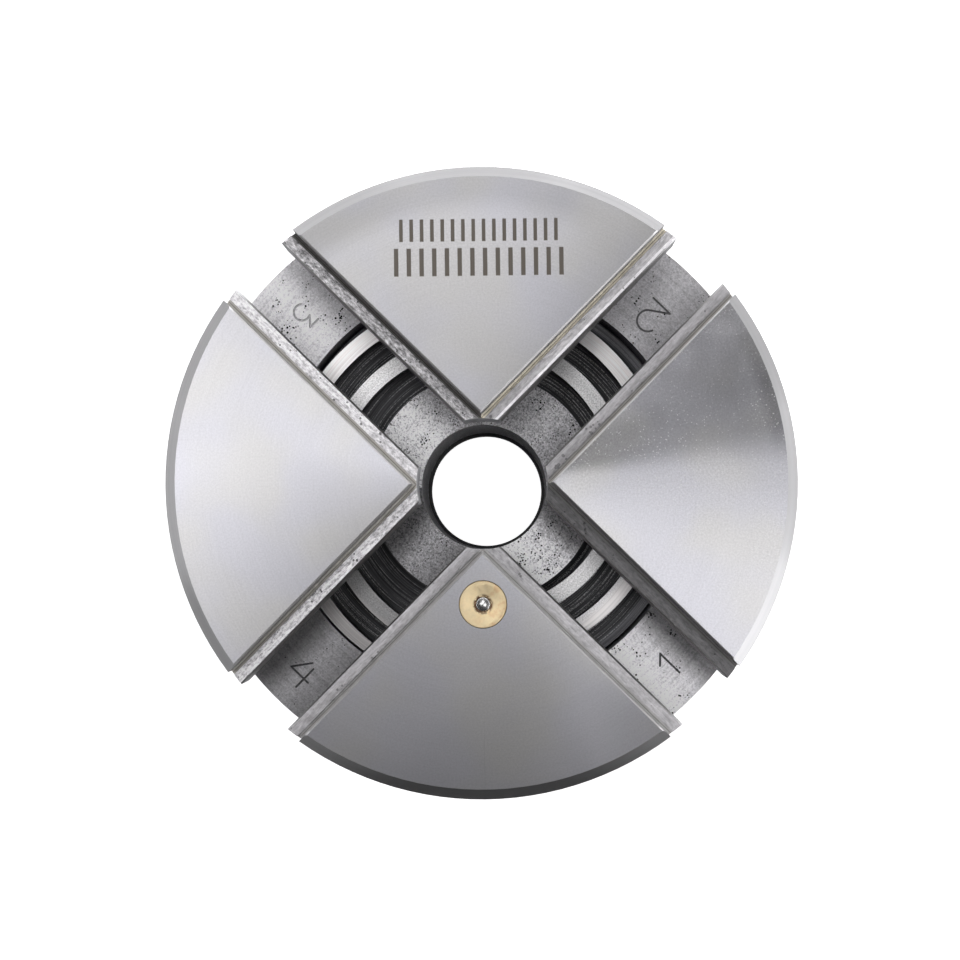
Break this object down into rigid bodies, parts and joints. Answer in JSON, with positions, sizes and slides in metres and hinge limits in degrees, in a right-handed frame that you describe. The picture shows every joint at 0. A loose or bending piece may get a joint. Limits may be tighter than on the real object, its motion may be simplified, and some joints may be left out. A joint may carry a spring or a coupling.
{
  "type": "lathe chuck",
  "caption": "Round self-centring lathe chuck without its jaws: crossed T-shaped jaw slots over a spiral scroll plate, side key sockets, a through bore, a ball oiler and a rear cover.",
  "frame": {"origin": "centre of the back face, on the spindle axis", "axes": "+Z along the spindle axis towards the jaw face; the jaw slots lie on the diagonals, slot 1 at -45 degrees from +X and the others anticlockwise; the pinions lie on +X, +Y, -X and -Y"},
  "size_m": [0.08, 0.08, 0.0501],
  "materials": {
    "body_iron": "ground jaw face, turned rim, milled slots",
    "scroll_steel": "turned, with dark oiled grooves",
    "pinion_steel": "hardened, blackened",
    "screw_steel": "black oxide",
    "cover_steel": "turned",
    "oiler_brass": "turned, worn bright",
    "ball_chrome": "polished",
    "spring_wire": "drawn wire"
  },
  "bodies": {
    "housing": {"chuck_body": "body_iron", "rear_cover": "cover_steel", "cover_screw_1": "screw_steel", "cover_screw_2": "screw_steel", "cover_screw_3": "screw_steel", "cover_screw_4": "screw_steel", "pinion_screw_1": "screw_steel", "pinion_screw_2": "screw_steel", "pinion_screw_3": "screw_steel", "pinion_screw_4": "screw_steel", "oiler_body": "oiler_brass", "oiler_spring": "spring_wire"},
    "scroll": {"scroll_plate": "scroll_steel"},
    "pinion_1": {"pinion_1": "pinion_steel"},
    "pinion_2": {"pinion_2": "pinion_steel"},
    "pinion_3": {"pinion_3": "pinion_steel"},
    "pinion_4": {"pinion_4": "pinion_steel"},
    "oiler_ball": {"oiler_ball": "ball_chrome"}
  },
  "joints": [
    {"name": "scroll_turn", "type": "hinge", "parent": "housing", "child": "scroll", "pos_m": [0, 0, 0.025], "axis": [0, 0, 1], "continuous": true},
    {"name": "pinion_1_turn", "type": "hinge", "parent": "housing", "child": "pinion_1", "pos_m": [0.03, 0, 0.01474], "axis": [1, 0, 0], "continuous": true},
    {"name": "pinion_2_turn", "type": "hinge", "parent": "housing", "child": "pinion_2", "pos_m": [0, 0.03, 0.01474], "axis": [0, 1, 0], "continuous": true},
    {"name": "pinion_3_turn", "type": "hinge", "parent": "housing", "child": "pinion_3", "pos_m": [-0.03, 0, 0.01474], "axis": [-1, 0, 0], "continuous": true},
    {"name": "pinion_4_turn", "type": "hinge", "parent": "housing", "child": "pinion_4", "pos_m": [0, -0.03, 0.01474], "axis": [0, -1, 0], "continuous": true},
    {"name": "oiler_ball_press", "type": "slide", "parent": "housing", "child": "oiler_ball", "axis": [0, 0, 1], "range_m": [-0.0008, 0], "stiffness_N_per_m": 500, "springref_m": 0.0004, "deforming": ["oiler_spring"]}
  ],
  "couplings": [
    {"joint": "pinion_1_turn", "follows": "scroll_turn", "ratio": -4.4},
    {"joint": "pinion_2_turn", "follows": "scroll_turn", "ratio": -4.4},
    {"joint": "pinion_3_turn", "follows": "scroll_turn", "ratio": -4.4},
    {"joint": "pinion_4_turn", "follows": "scroll_turn", "ratio": -4.4}
  ]
}
